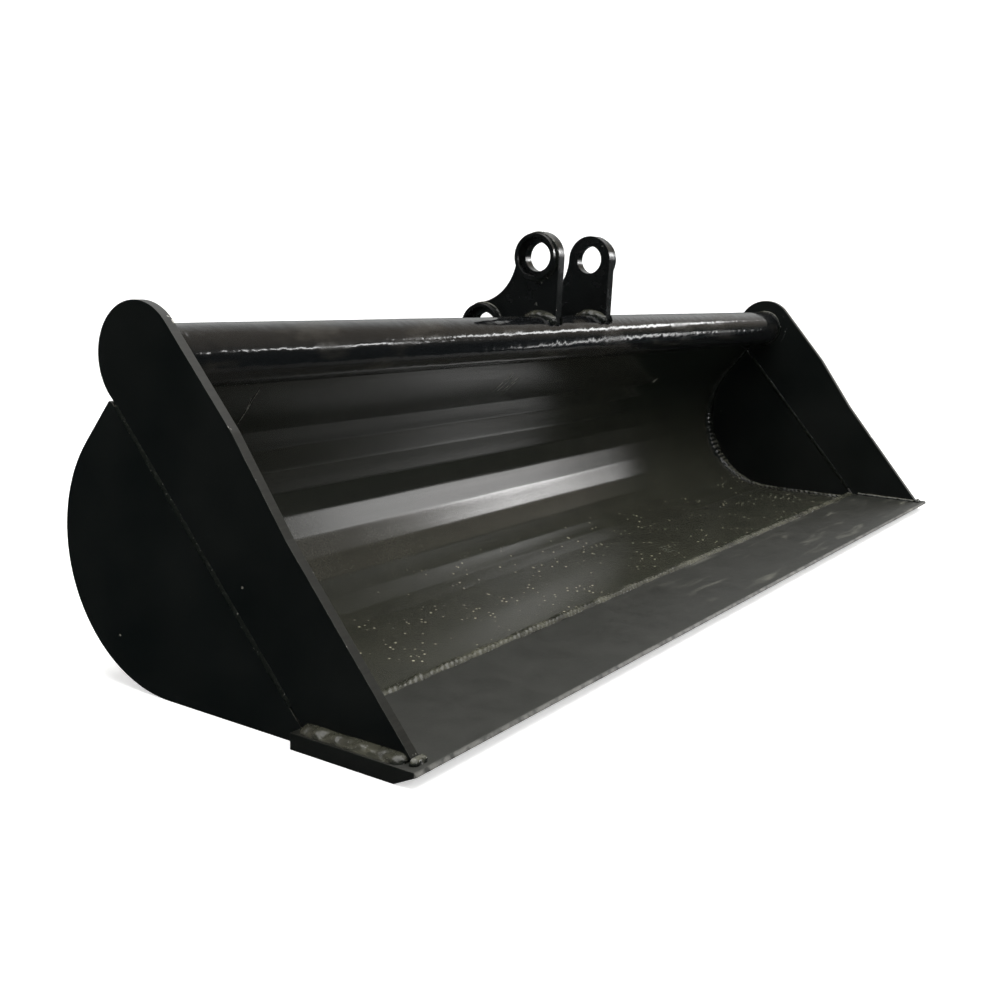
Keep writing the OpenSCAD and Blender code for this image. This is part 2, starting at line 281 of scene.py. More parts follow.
class Bead:
    """Collects rippled runs of weld into one closed mesh."""

    def __init__(self, seed):
        self.verts, self.faces, self.seed = [], [], seed

    def run(self, stations, section, pitch, ripple, rough, closed=False, sunk=0.35, girth=None):
        """Sweeps a section along stations of (origin, u, v). section is (start, crown, end)
        and its roots, in millimetres along u and v; crown is the middle control point.
        girth gives the bead's relative size at a share of its length."""
        self.seed += 1
        (start, crown, end), roots = section[0], section[1]
        start, crown, end = Vector(start), Vector(crown), Vector(end)
        rows = self.resampled(stations, pitch / 6 * MM, closed)
        total = rows[-1][3]
        width = (end - start).length
        steps = max(7, round(width / 1.6))
        first = len(self.verts)
        for origin, u, v, s in rows:
            mm = s / MM
            swell = 1 + 0.16 * wave(mm / (pitch * 2.2), 0, 0, self.seed)
            if girth:
                swell *= girth(s / total)
            if not closed:
                near = min(s, total - s) / MM / (0.45 * width)
                swell *= 0.35 + 0.65 * math.sqrt(min(near, 1))
            beat = 0.35 * wave(mm / (pitch * 3), 3, 0, self.seed)
            for i in range(steps + 1):
                t = i / steps
                p = start * (1 - t) ** 2 + crown * 2 * t * (1 - t) + end * t * t
                along = (crown - start) * (1 - t) + (end - crown) * t
                out = Vector((-along.y, along.x)).normalized()
                if out.dot(crown - (start + end) / 2) < 0:
                    out = -out
                hump = math.sin(math.pi * t)
                phase = mm / pitch + beat - 0.5 * hump
                lift = ripple * hump ** 0.6 * (abs(math.sin(math.pi * phase)) ** 0.7 - 0.6)
                lift += rough * hump * wave(mm / (pitch * 0.8), t * width / (pitch * 0.8), 0, self.seed)
                lift += rough * 0.4 * hump * wave(mm / (pitch * 0.25), t * width / (pitch * 0.25), 5, self.seed)
                p = p * swell + out * lift - out * sunk * (1 - hump)
                self.verts.append(origin + (u * p.x + v * p.y) * MM)
            for root in roots:
                p = Vector(root) * swell
                self.verts.append(origin + (u * (p.x - sunk) + v * (p.y - sunk)) * MM)
        ring = steps + 1 + len(roots)
        count = len(rows)
        for r in range(count if closed else count - 1):
            a = first + r * ring
            b = first + ((r + 1) % count) * ring
            for k in range(ring):
                j = (k + 1) % ring
                self.faces.append((a + k, a + j, b + j, b + k))
        if not closed:
            self.faces.append(tuple(first + k for k in range(ring)))
            self.faces.append(tuple(first + (count - 1) * ring + k for k in reversed(range(ring))))

    @staticmethod
    def resampled(stations, step, closed):
        """Stations at even spacing, each with its distance along the run."""
        loop = stations + [stations[0]] if closed else stations
        marks = [0.0]
        for a, b in zip(loop, loop[1:]):
            marks.append(marks[-1] + (b[0] - a[0]).length)
        count = max(4, round(marks[-1] / step))
        rows, k = [], 0
        for i in range(count if closed else count + 1):
            s = marks[-1] * i / count
            while k < len(loop) - 2 and marks[k + 1] < s:
                k += 1
            t = (s - marks[k]) / max(marks[k + 1] - marks[k], 1e-9)
            a, b = loop[k], loop[k + 1]
            rows.append((a[0].lerp(b[0], t), a[1].lerp(b[1], t).normalized(),
                         a[2].lerp(b[2], t).normalized(), s))
        return rows

    def lump(self, place, out, size):
        """A drop of spatter: a low dome of the given radius in millimetres."""
        side = out.orthogonal().normalized()
        up = out.cross(side)
        first = len(self.verts)
        rings, spokes = 3, 8
        for r in range(rings):
            a = math.pi / 2 * r / rings
            for k in range(spokes):
                b = 2 * math.pi * k / spokes
                reach = size * (1 + 0.15 * wave(k, r, size, self.seed))
                flat = (side * math.cos(b) + up * math.sin(b)) * math.cos(a) * reach
                self.verts.append(place + (flat + out * (math.sin(a) * size * 0.7 - 0.2)) * MM)
        self.verts.append(place + out * size * 0.7 * MM)
        top = len(self.verts) - 1
        for r in range(rings - 1):
            for k in range(spokes):
                j = (k + 1) % spokes
                a, b = first + r * spokes, first + (r + 1) * spokes
                self.faces.append((a + k, a + j, b + j, b + k))
        for k in range(spokes):
            self.faces.append((first + (rings - 1) * spokes + k,
                               first + (rings - 1) * spokes + (k + 1) % spokes, top))
        self.faces.append(tuple(first + k for k in reversed(range(spokes))))

    def piece(self, node):
        return make_piece(node + "_bead", self.verts, self.faces, painted_weld(), node,
                          sharp=75)


def fillet(leg_u, leg_v, bulge=1.18):
    """Section of a corner weld with its two legs and how far its face bows out."""
    mid = Vector((leg_u, leg_v)) / 2 * bulge
    crown = mid * 2 - Vector((leg_u, leg_v)) / 2
    return ((leg_u, 0), tuple(crown), (0, leg_v)), [(0, 0)]


def ring_stations(x, grow, centre, radius, first=0, last=360):
    """Stations round a circle in the side plane on a face at x."""
    count = 48
    full = abs(last - first) >= 360
    out = []
    for i in range(count if full else count + 1):
        d = turned(first + (last - first) * i / count)
        out.append((at(x, centre + d * radius), across(d), Vector((grow, 0, 0))))
    return out


# ---- materials ----

def add(tree, kind, settings=None, inputs=None):
    """Adds a node, gives it its settings and values, and links what comes from other nodes."""
    made = tree.nodes.new(kind)
    for key, value in (settings or {}).items():
        setattr(made, key, value)
    for key, value in (inputs or {}).items():
        if isinstance(value, bpy.types.NodeSocket):
            tree.links.new(value, made.inputs[key])
        else:
            made.inputs[key].default_value = value
    return made


def start_material(name):
    """An empty material with its shader, or None where it has been made already."""
    made = bpy.data.materials.get(name)
    if made:
        return made, None, None
    made = bpy.data.materials.new(name)
    made.use_nodes = True
    return made, made.node_tree, made.node_tree.nodes["Principled BSDF"]


NOISE = "ShaderNodeTexNoise"
RANGE = "ShaderNodeMapRange"
MATH = "ShaderNodeMath"
MIX = "ShaderNodeMix"
SOFT = {"interpolation_type": "SMOOTHSTEP"}
BLEND = {"data_type": "RGBA"}
FACTOR, COLOUR_A, COLOUR_B, COLOUR = 0, 6, 7, 2


def per_mm(size):
    """Texture scale that makes features about size millimetres wide."""
    return 1 / (size * MM)


def pressed_shell_paint():
    """Satin black enamel sprayed on press-braked steel plate: the rolled plate's streaks and
    the spray's fine skin blur its reflections, and dry dust greys whatever faces up."""
    made, tree, shader = start_material("Satin black enamel on press-braked steel")
    if not tree:
        return made
    c = colours()
    place = add(tree, "ShaderNodeTexCoord").outputs["Object"]
    facing = add(tree, "ShaderNodeNewGeometry").outputs["Normal"]
    up = add(tree, "ShaderNodeSeparateXYZ", None, {0: facing}).outputs["Z"]
    spot = add(tree, "ShaderNodeSeparateXYZ", None, {0: place})
    # cloudy patches about 60 mm wide where hands and rain moved the dust
    cloud = add(tree, NOISE, None, {"Vector": place, "Scale": per_mm(60), "Detail": 5.0,
                                    "Roughness": 0.6}).outputs["Fac"]
    # streaks of the rolled plate, 300 mm long and 5 mm wide, along the bucket's width
    stretched = add(tree, "ShaderNodeMapping", None, {
        "Vector": place, "Scale": (per_mm(300), per_mm(5), per_mm(5))}).outputs["Vector"]
    streak = add(tree, NOISE, None, {"Vector": stretched, "Scale": 1.0, "Detail": 3.0}).outputs["Fac"]
    # grit about 1.5 mm wide
    grit = add(tree, NOISE, None, {"Vector": place, "Scale": per_mm(1.6), "Detail": 2.0}).outputs["Fac"]
    lying = add(tree, RANGE, SOFT, {"Value": up, "From Min": -0.6, "From Max": 0.98,
                                    "To Min": 0.0, "To Max": 0.16}).outputs["Result"]
    # rain keeps the outer back cleaner than the inside
    sheltered = add(tree, RANGE, SOFT, {"Value": add(tree, "ShaderNodeSeparateXYZ", None,
                                                     {0: facing}).outputs["Y"],
                                        "From Min": 0.02, "From Max": 0.25, "To Min": 1.0,
                                        "To Max": 0.12}).outputs["Result"]
    lying = add(tree, MATH, {"operation": "MULTIPLY"}, {0: lying, 1: sheltered}).outputs[0]
    patch = add(tree, RANGE, None, {"Value": cloud, "From Min": 0.3, "From Max": 0.7,
                                    "To Min": 0.72, "To Max": 1.1}).outputs["Result"]
    dusty = add(tree, MATH, {"operation": "MULTIPLY"}, {0: lying, 1: patch}).outputs[0]
    grained = add(tree, RANGE, None, {"Value": grit, "From Min": 0.35, "From Max": 0.68,
                                      "To Min": 0.80, "To Max": 1.2}).outputs["Result"]
    dusty = add(tree, MATH, {"operation": "MULTIPLY", "use_clamp": True},
                {0: dusty, 1: grained}).outputs[0]
    base = add(tree, MIX, BLEND, {FACTOR: dusty, COLOUR_A: list(c.shell),
                                  COLOUR_B: list(c.dust)}).outputs[COLOUR]
    # pale crumbs of dry soil, 2 mm wide, caught low on the first bends
    crumb = add(tree, "ShaderNodeTexVoronoi", None, {"Vector": place, "Scale": per_mm(8),
                                                     "Randomness": 1.0})
    small = add(tree, RANGE, None, {"Value": crumb.outputs["Distance"], "From Min": 0.11,
                                    "From Max": 0.16, "To Min": 1.0, "To Max": 0.0}).outputs["Result"]
    low = add(tree, RANGE, SOFT, {"Value": spot.outputs["Z"], "From Min": 8 * MM,
                                  "From Max": 24 * MM, "To Min": 0.9, "To Max": 0.0}).outputs["Result"]
    some = add(tree, RANGE, None, {"Value": cloud, "From Min": 0.48, "From Max": 0.56}).outputs["Result"]
    crumbs = add(tree, MATH, {"operation": "MULTIPLY"}, {0: small, 1: low}).outputs[0]
    crumbs = add(tree, MATH, {"operation": "MULTIPLY"}, {0: crumbs, 1: some}).outputs[0]
    base = add(tree, MIX, BLEND, {FACTOR: crumbs, COLOUR_A: base,
                                  COLOUR_B: linear("b8b29a")}).outputs[COLOUR]
    skin = add(tree, NOISE, None, {"Vector": place, "Scale": per_mm(1.8), "Detail": 2.0}).outputs["Fac"]
    relief = add(tree, MATH, {"operation": "MULTIPLY_ADD"}, {0: streak, 1: 0.12, 2: skin}).outputs[0]
    bump = add(tree, "ShaderNodeBump", None, {"Height": relief, "Strength": 0.5,
                                              "Distance": 0.08 * MM}).outputs["Normal"]
    gloss = add(tree, RANGE, None, {"Value": streak, "From Min": 0.3, "From Max": 0.7,
                                    "To Min": 0.14, "To Max": 0.17}).outputs["Result"]
    rough = add(tree, MATH, {"operation": "MULTIPLY_ADD"}, {0: dusty, 1: 0.55, 2: gloss}).outputs[0]
    tree.links.new(base, shader.inputs["Base Color"])
    tree.links.new(rough, shader.inputs["Roughness"])
    tree.links.new(bump, shader.inputs["Normal"])
    shader.inputs["IOR"].default_value = 1.5
    return made


def edge_bar_paint():
    """Satin black enamel on hot-rolled flat bar: dusty on top, paler in smears on its right half,
    and rubbed to bright steel along the lip."""
    made, tree, shader = start_material("Satin black enamel on hot-rolled flat bar")
    if not tree:
        return made
    c = colours()
    place = add(tree, "ShaderNodeTexCoord").outputs["Object"]
    spot = add(tree, "ShaderNodeSeparateXYZ", None, {0: place})
    facing = add(tree, "ShaderNodeNewGeometry").outputs["Normal"]
    up = add(tree, "ShaderNodeSeparateXYZ", None, {0: facing}).outputs["Z"]
    cloud = add(tree, NOISE, None, {"Vector": place, "Scale": per_mm(30), "Detail": 8.0,
                                    "Roughness": 0.75}).outputs["Fac"]
    grit = add(tree, NOISE, None, {"Vector": place, "Scale": per_mm(1.6), "Detail": 2.0}).outputs["Fac"]
    lying = add(tree, RANGE, SOFT, {"Value": up, "From Min": 0.2, "From Max": 0.95,
                                    "To Min": 0.0, "To Max": 0.05}).outputs["Result"]
    patch = add(tree, RANGE, None, {"Value": cloud, "From Min": 0.3, "From Max": 0.7,
                                    "To Min": 0.7, "To Max": 1.15}).outputs["Result"]
    dusty = add(tree, MATH, {"operation": "MULTIPLY"}, {0: lying, 1: patch}).outputs[0]
    grained = add(tree, RANGE, None, {"Value": grit, "From Min": 0.35, "From Max": 0.68,
                                      "To Min": 0.78, "To Max": 1.25}).outputs["Result"]
    dusty = add(tree, MATH, {"operation": "MULTIPLY", "use_clamp": True},
                {0: dusty, 1: grained}).outputs[0]
    base = add(tree, MIX, BLEND, {FACTOR: dusty, COLOUR_A: list(c.shell),
                                  COLOUR_B: list(c.dust)}).outputs[COLOUR]
    # paler smears, 120 mm long and 12 mm wide, on the right half
    smear_stretch = add(tree, "ShaderNodeMapping", None, {
        "Vector": place, "Scale": (per_mm(110), per_mm(14), per_mm(14)),
        "Rotation": (0, 0, math.radians(14))}).outputs["Vector"]
    smear = add(tree, NOISE, None, {"Vector": smear_stretch, "Scale": 1.0, "Detail": 4.0,
                                    "Distortion": 0.6}).outputs["Fac"]
    smear = add(tree, RANGE, SOFT, {"Value": smear, "From Min": 0.56, "From Max": 0.74,
                                    "To Min": 0.0, "To Max": 0.30}).outputs["Result"]
    right = add(tree, RANGE, SOFT, {"Value": spot.outputs["X"], "From Min": -0.25,
                                    "From Max": 0.1}).outputs["Result"]
    smear = add(tree, MATH, {"operation": "MULTIPLY"}, {0: smear, 1: right}).outputs[0]
    base = add(tree, MIX, BLEND, {FACTOR: smear, COLOUR_A: base,
                                  COLOUR_B: linear("8b8a7e")}).outputs[COLOUR]
    # the lip: the first millimetres behind the tip are rubbed bright, unevenly
    lip = add(tree, RANGE, SOFT, {"Value": spot.outputs["Y"], "From Min": (TIP_Y + 1.2) * MM,
                                  "From Max": (TIP_Y + 2.6) * MM, "To Min": 0.17,
                                  "To Max": 0.0}).outputs["Result"]
    nibble = add(tree, NOISE, None, {"Vector": place, "Scale": per_mm(9), "Detail": 4.0}).outputs["Fac"]
    nibble = add(tree, RANGE, None, {"Value": nibble, "From Min": 0.35, "From Max": 0.55}).outputs["Result"]
    worn = add(tree, MATH, {"operation": "MULTIPLY"}, {0: lip, 1: nibble}).outputs[0]
    base = add(tree, MIX, BLEND, {FACTOR: worn, COLOUR_A: base,
                                  COLOUR_B: list(c.worn)}).outputs[COLOUR]
    bump = add(tree, "ShaderNodeBump", None, {"Height": grit, "Strength": 0.5,
                                              "Distance": 0.08 * MM}).outputs["Normal"]
    rough = add(tree, RANGE, None, {"Value": cloud, "From Min": 0.3, "From Max": 0.7,
                                    "To Min": 0.38, "To Max": 0.52}).outputs["Result"]
    tree.links.new(base, shader.inputs["Base Color"])
    tree.links.new(rough, shader.inputs["Roughness"])
    tree.links.new(bump, shader.inputs["Normal"])
    shader.inputs["IOR"].default_value = 1.5
    return made


def tube_paint():
    """Gloss black enamel on drawn steel tube: a hard line of light runs along it, broken where
    the coat was rubbed dull, over a slight orange peel."""
    made, tree, shader = start_material("Gloss black enamel on drawn steel tube")
    if not tree:
        return made
    c = colours()
    place = add(tree, "ShaderNodeTexCoord").outputs["Object"]
    rubbed = add(tree, "ShaderNodeMapping", None, {
        "Vector": place, "Scale": (per_mm(90), per_mm(26), per_mm(26))}).outputs["Vector"]
    rub = add(tree, NOISE, None, {"Vector": rubbed, "Scale": 1.0, "Detail": 5.0,
                                  "Roughness": 0.6}).outputs["Fac"]
    dull = add(tree, RANGE, SOFT, {"Value": rub, "From Min": 0.52, "From Max": 0.66}).outputs["Result"]
    # the coat's slow waves, about 14 mm long, make the line of light wander
    peel = add(tree, NOISE, None, {"Vector": place, "Scale": per_mm(14), "Detail": 2.5,
                                   "Roughness": 0.45}).outputs["Fac"]
    base = add(tree, MIX, BLEND, {FACTOR: dull, COLOUR_A: list(c.gloss),
                                  COLOUR_B: linear("1d1c19")}).outputs[COLOUR]
    rough = add(tree, RANGE, None, {"Value": dull, "To Min": 0.11, "To Max": 0.24}).outputs["Result"]
    bump = add(tree, "ShaderNodeBump", None, {"Height": peel, "Strength": 1.0,
                                              "Distance": 0.55 * MM}).outputs["Normal"]
    tree.links.new(base, shader.inputs["Base Color"])
    tree.links.new(rough, shader.inputs["Roughness"])
    tree.links.new(bump, shader.inputs["Normal"])
    shader.inputs["IOR"].default_value = 1.52
    return made


def side_plate_paint():
    """Satin black enamel on flame-cut plate: deep black faces with a faint spray texture, and
    cut edges that are drag-lined, greyed and nicked to the steel; the rounded corners carry a paler
    rubbed band that is also a painted highlight."""
    made, tree, shader = start_material("Satin black enamel on flame-cut plate")
    if not tree:
        return made
    c = colours()
    place = add(tree, "ShaderNodeTexCoord").outputs["Object"]
    facing = add(tree, "ShaderNodeNewGeometry").outputs["Normal"]
    sideways = add(tree, "ShaderNodeSeparateXYZ", None, {0: facing})
    flat = add(tree, MATH, {"operation": "ABSOLUTE"}, {0: sideways.outputs["X"]}).outputs[0]
    cut = add(tree, RANGE, SOFT, {"Value": flat, "From Min": 0.35, "From Max": 0.85,
                                  "To Min": 1.0, "To Max": 0.0}).outputs["Result"]
    cloud = add(tree, NOISE, None, {"Vector": place, "Scale": per_mm(70), "Detail": 5.0}).outputs["Fac"]
    haze = add(tree, RANGE, None, {"Value": cloud, "From Min": 0.35, "From Max": 0.75,
                                   "To Min": 0.0, "To Max": 0.015}).outputs["Result"]
    base = add(tree, MIX, BLEND, {FACTOR: haze, COLOUR_A: list(c.side),
                                  COLOUR_B: list(c.dust)}).outputs[COLOUR]
    # drag lines of the flame cut run across the plate, 2 mm apart
    lines = add(tree, "ShaderNodeMapping", None, {
        "Vector": place, "Scale": (per_mm(25), per_mm(2.0), per_mm(2.0))}).outputs["Vector"]
    drag = add(tree, NOISE, None, {"Vector": lines, "Scale": 1.0, "Detail": 3.0}).outputs["Fac"]
    greyed = add(tree, RANGE, None, {"Value": drag, "From Min": 0.25, "From Max": 0.7,
                                     "To Min": 0.0, "To Max": 0.12}).outputs["Result"]
    greyed = add(tree, MATH, {"operation": "MULTIPLY"}, {0: greyed, 1: cut}).outputs[0]
    base = add(tree, MIX, BLEND, {FACTOR: greyed, COLOUR_A: base,
                                  COLOUR_B: linear("55544c")}).outputs[COLOUR]
    # nicks 6 mm long down to pale steel, a hand's width apart
    nick = add(tree, NOISE, None, {"Vector": place, "Scale": per_mm(14), "Detail": 3.0,
                                   "Roughness": 0.7}).outputs["Fac"]
    nick = add(tree, RANGE, None, {"Value": nick, "From Min": 0.665, "From Max": 0.70}).outputs["Result"]
    nick = add(tree, MATH, {"operation": "MULTIPLY"}, {0: nick, 1: cut}).outputs[0]
    base = add(tree, MIX, BLEND, {FACTOR: nick, COLOUR_A: base,
                                  COLOUR_B: list(c.worn)}).outputs[COLOUR]
    # the rounded corner between face and cut edge is painted paler in places: rubbed wear, and a painted
    # highlight along the corner
    rub = add(tree, RANGE, SOFT, {"Value": flat, "From Min": 0.95, "From Max": 0.99,
                                  "To Min": 1.0, "To Max": 0.0}).outputs["Result"]
    here = add(tree, RANGE, SOFT, {"Value": flat, "From Min": 0.1, "From Max": 0.3}).outputs["Result"]
    rub = add(tree, MATH, {"operation": "MULTIPLY"}, {0: rub, 1: here}).outputs[0]
    chafe_and_sheen = add(tree, NOISE, None, {"Vector": place, "Scale": per_mm(8), "Detail": 4.0}).outputs["Fac"]
    chafe_and_sheen = add(tree, RANGE, None, {"Value": chafe_and_sheen, "From Min": 0.42, "From Max": 0.58,
                                    "To Min": 0.1, "To Max": 0.75}).outputs["Result"]
    rub = add(tree, MATH, {"operation": "MULTIPLY"}, {0: rub, 1: chafe_and_sheen}).outputs[0]
    base = add(tree, MIX, BLEND, {FACTOR: rub, COLOUR_A: base,
                                  COLOUR_B: linear("77766d")}).outputs[COLOUR]
    # scattered paint chips 1 to 2 mm wide on the faces
    chip = add(tree, "ShaderNodeTexVoronoi", None, {"Vector": place, "Scale": per_mm(38)})
    chip = add(tree, RANGE, None, {"Value": chip.outputs["Distance"], "From Min": 0.022,
                                   "From Max": 0.035, "To Min": 0.5, "To Max": 0.0}).outputs["Result"]
    base = add(tree, MIX, BLEND, {FACTOR: chip, COLOUR_A: base,
                                  COLOUR_B: linear("6c6a61")}).outputs[COLOUR]
    skin = add(tree, NOISE, None, {"Vector": place, "Scale": per_mm(2.5), "Detail": 2.0}).outputs["Fac"]
    relief = add(tree, MATH, {"operation": "MULTIPLY_ADD"}, {0: greyed, 1: 2.0, 2: skin}).outputs[0]
    bump = add(tree, "ShaderNodeBump", None, {"Height": relief, "Strength": 0.5,
                                              "Distance": 0.07 * MM}).outputs["Normal"]
    rough = add(tree, RANGE, None, {"Value": cloud, "From Min": 0.3, "From Max": 0.7,
                                    "To Min": 0.32, "To Max": 0.44}).outputs["Result"]
    tree.links.new(base, shader.inputs["Base Color"])
    tree.links.new(rough, shader.inputs["Roughness"])
    tree.links.new(bump, shader.inputs["Normal"])
    shader.inputs["IOR"].default_value = 1.5
    return made


def ear_paint():
    """Gloss black enamel on thick flame-cut plate: near black, with sharp lights on its
    rounded edges and a slow ripple in the wet-looking coat."""
    made, tree, shader = start_material("Gloss black enamel on thick flame-cut plate")
    if not tree:
        return made
    c = colours()
    place = add(tree, "ShaderNodeTexCoord").outputs["Object"]
    cloud = add(tree, NOISE, None, {"Vector": place, "Scale": per_mm(18), "Detail": 5.0}).outputs["Fac"]
    dull = add(tree, RANGE, SOFT, {"Value": cloud, "From Min": 0.45, "From Max": 0.7,
                                   "To Min": 0.0, "To Max": 0.5}).outputs["Result"]
    base = add(tree, MIX, BLEND, {FACTOR: dull, COLOUR_A: linear("0b0c0c"),
                                  COLOUR_B: list(c.gloss)}).outputs[COLOUR]
    # sparse pale grey nicks on ears and collars: painted glints of light, drawn as bare-steel nicks
    nick = add(tree, NOISE, None, {"Vector": place, "Scale": per_mm(7), "Detail": 3.0,
                                   "Roughness": 0.7}).outputs["Fac"]
    nick = add(tree, RANGE, None, {"Value": nick, "From Min": 0.70, "From Max": 0.74}).outputs["Result"]
    base = add(tree, MIX, BLEND, {FACTOR: nick, COLOUR_A: base,
                                  COLOUR_B: linear("5a5a55")}).outputs[COLOUR]
    rough = add(tree, RANGE, None, {"Value": dull, "To Min": 0.2, "To Max": 0.42}).outputs["Result"]
    peel = add(tree, NOISE, None, {"Vector": place, "Scale": per_mm(5), "Detail": 2.0}).outputs["Fac"]
    bump = add(tree, "ShaderNodeBump", None, {"Height": peel, "Strength": 0.6,
                                              "Distance": 0.15 * MM}).outputs["Normal"]
    tree.links.new(base, shader.inputs["Base Color"])
    tree.links.new(rough, shader.inputs["Roughness"])
    tree.links.new(bump, shader.inputs["Normal"])
    shader.inputs["IOR"].default_value = 1.5
    return made


def painted_weld():
    """Black enamel over arc weld, brushed but not ground: pits and slag crumbs break it up, and
    the crests of the ripples catch small lights and dust. Pale grey spots are bare steel and painted
    glints, and the dust on the up-facing bead is set heavy enough to be painted sparkle as well."""
    made, tree, shader = start_material("Black enamel over unground arc weld")
    if not tree:
        return made
    c = colours()
    place = add(tree, "ShaderNodeTexCoord").outputs["Object"]
    grain = add(tree, NOISE, None, {"Vector": place, "Scale": per_mm(3), "Detail": 4.0,
                                    "Roughness": 0.65}).outputs["Fac"]
    cloud = add(tree, NOISE, None, {"Vector": place, "Scale": per_mm(30), "Detail": 3.0}).outputs["Fac"]
    facing = add(tree, "ShaderNodeNewGeometry").outputs["Normal"]
    up = add(tree, "ShaderNodeSeparateXYZ", None, {0: facing}).outputs["Z"]
    # dust on the up-facing bead faces, set heavy enough to stand in for the bead's sparkle: dust and painted
    # highlight
    lying = add(tree, RANGE, SOFT, {"Value": up, "From Min": 0.3, "From Max": 1.0,
                                    "To Min": 0.0, "To Max": 0.34}).outputs["Result"]
    patch = add(tree, RANGE, None, {"Value": cloud, "From Min": 0.35, "From Max": 0.65,
                                    "To Min": 0.3, "To Max": 1.2}).outputs["Result"]
    dusty = add(tree, MATH, {"operation": "MULTIPLY", "use_clamp": True}, {0: lying, 1: patch}).outputs[0]
    base = add(tree, MIX, BLEND, {FACTOR: dusty, COLOUR_A: list(c.shell),
                                  COLOUR_B: list(c.dust)}).outputs[COLOUR]
    # pale grey spots: bare steel on the bead, also painted glints of light
    bare_and_glint = add(tree, RANGE, None, {"Value": grain, "From Min": 0.66, "From Max": 0.72,
                                   "To Min": 0.0, "To Max": 0.5}).outputs["Result"]
    base = add(tree, MIX, BLEND, {FACTOR: bare_and_glint, COLOUR_A: base,
                                  COLOUR_B: linear("8c8b83")}).outputs[COLOUR]
    rough = add(tree, RANGE, None, {"Value": grain, "From Min": 0.3, "From Max": 0.7,
                                    "To Min": 0.14, "To Max": 0.30}).outputs["Result"]
    bump = add(tree, "ShaderNodeBump", None, {"Height": grain, "Strength": 0.6,
                                              "Distance": 0.25 * MM}).outputs["Normal"]
    tree.links.new(base, shader.inputs["Base Color"])
    tree.links.new(rough, shader.inputs["Roughness"])
    tree.links.new(bump, shader.inputs["Normal"])
    shader.inputs["IOR"].default_value = 1.5
    return made


def scratched_paint():
    """Black enamel scored down to its grey primer: dull and paler than the paint round it."""
    made, tree, shader = start_material("Scored enamel over grey primer")
    if not tree:
        return made
    place = add(tree, "ShaderNodeTexCoord").outputs["Object"]
    broken = add(tree, NOISE, None, {"Vector": place, "Scale": per_mm(2.5), "Detail": 3.0}).outputs["Fac"]
    broken = add(tree, RANGE, None, {"Value": broken, "From Min": 0.4, "From Max": 0.6}).outputs["Result"]
    base = add(tree, MIX, BLEND, {FACTOR: broken, COLOUR_A: linear("3a3b35"),
                                  COLOUR_B: linear("87867c")}).outputs[COLOUR]
    tree.links.new(base, shader.inputs["Base Color"])
    shader.inputs["Roughness"].default_value = 0.5
    return made


# ---- pieces ----

class BUCKET_OT_shell(bpy.types.Operator):
    """Press the shell plate: rounded bends and slightly wavy flats between the sides"""
    bl_idname = "bucket.shell"
    bl_label = "Shell plate"

    def execute(self, context):
        wavy = sizes().plate_wave / MM
        faces_of = []
        columns = 110
        xs = [-IN_X + 2 * IN_X * i / columns for i in range(columns + 1)]
        inner = shell_face(True)
        outer = shell_face(False)
        loop = inner + outer[::-1]
        turn = normals(inner)
        push = turn + turn[::-1]
        verts, faces = [], []
        for x in xs:
            edge = min(1.0, (IN_X - abs(x)) / 60)
            for k, (p, n) in enumerate(zip(loop, push)):
                far = k if k < len(inner) else 2 * len(inner) - 1 - k
                run = far * 6
                off = wavy * edge * (wave(x / 260, run / 70, 0, 1) + 0.5 * wave(x / 110, run / 45, 2, 2))
                off *= min(1, far / 5, (len(inner) - 1 - far) / 5)
                verts.append(at(x, p + n * off))
        ring = len(loop)
        for c in range(columns):
            for k in range(ring):
                j = (k + 1) % ring
                faces.append((c * ring + k, c * ring + j, (c + 1) * ring + j, (c + 1) * ring + k))
        for c in (0, columns):
            for k in range(len(inner) - 1):
                a, b = c * ring + k, c * ring + ring - 1 - k
                faces.append((a, a + 1, b - 1, b))
        make_piece("shell_plate_pressed", verts, faces, pressed_shell_paint(), "shell_plate",
                   sharp=50)
        return {"FINISHED"}


class BUCKET_OT_edge(bpy.types.Operator):
    """Soften and paint the bevelled cutting edge"""
    bl_idname = "bucket.edge"
    bl_label = "Cutting edge"

    def execute(self, context):
        refine_node("cutting_edge", edge_bar_paint())
        return {"FINISHED"}


class BUCKET_OT_tube(bpy.types.Operator):
    """Draw the torque tube with the faint dents and bow of real tube"""
    bl_idname = "bucket.tube"
    bl_label = "Torque tube"

    def execute(self, context):
        wall = 4.0
        spokes, columns = 96, 150
        verts, faces = [], []
        for i in range(columns + 1):
            x = -IN_X + 2 * IN_X * i / columns
            for k in range(spokes):
                a = 360 * k / spokes
                d = turned(a)
                dent = 0.10 * wave(x / 45, d.x * 1.1, d.y * 1.1, 3) + 0.16 * wave(x / 160, d.x, d.y, 4)
                dent *= min(1, (IN_X - abs(x)) / 30)
                verts.append(at(x, TUBE + d * (TUBE_R - 0.12 + dent)))
        for i in (0, columns):
            x = -IN_X + 2 * IN_X * i / columns
            for k in range(spokes):
                verts.append(at(x, TUBE + turned(360 * k / spokes) * (TUBE_R - wall)))
        bore = (columns + 1) * spokes
        for k in range(spokes):
            j = (k + 1) % spokes
            for i in range(columns):
                a, b = i * spokes, (i + 1) * spokes
                faces.append((a + k, a + j, b + j, b + k))
            far = columns * spokes
            faces.append((k, j, bore + j, bore + k))
            faces.append((far + k, far + j, bore + spokes + j, bore + spokes + k))
            faces.append((bore + k, bore + j, bore + spokes + j, bore + spokes + k))
        make_piece("torque_tube_drawn", verts, faces, tube_paint(), "torque_tube",
                   sharp=50)
        return {"FINISHED"}


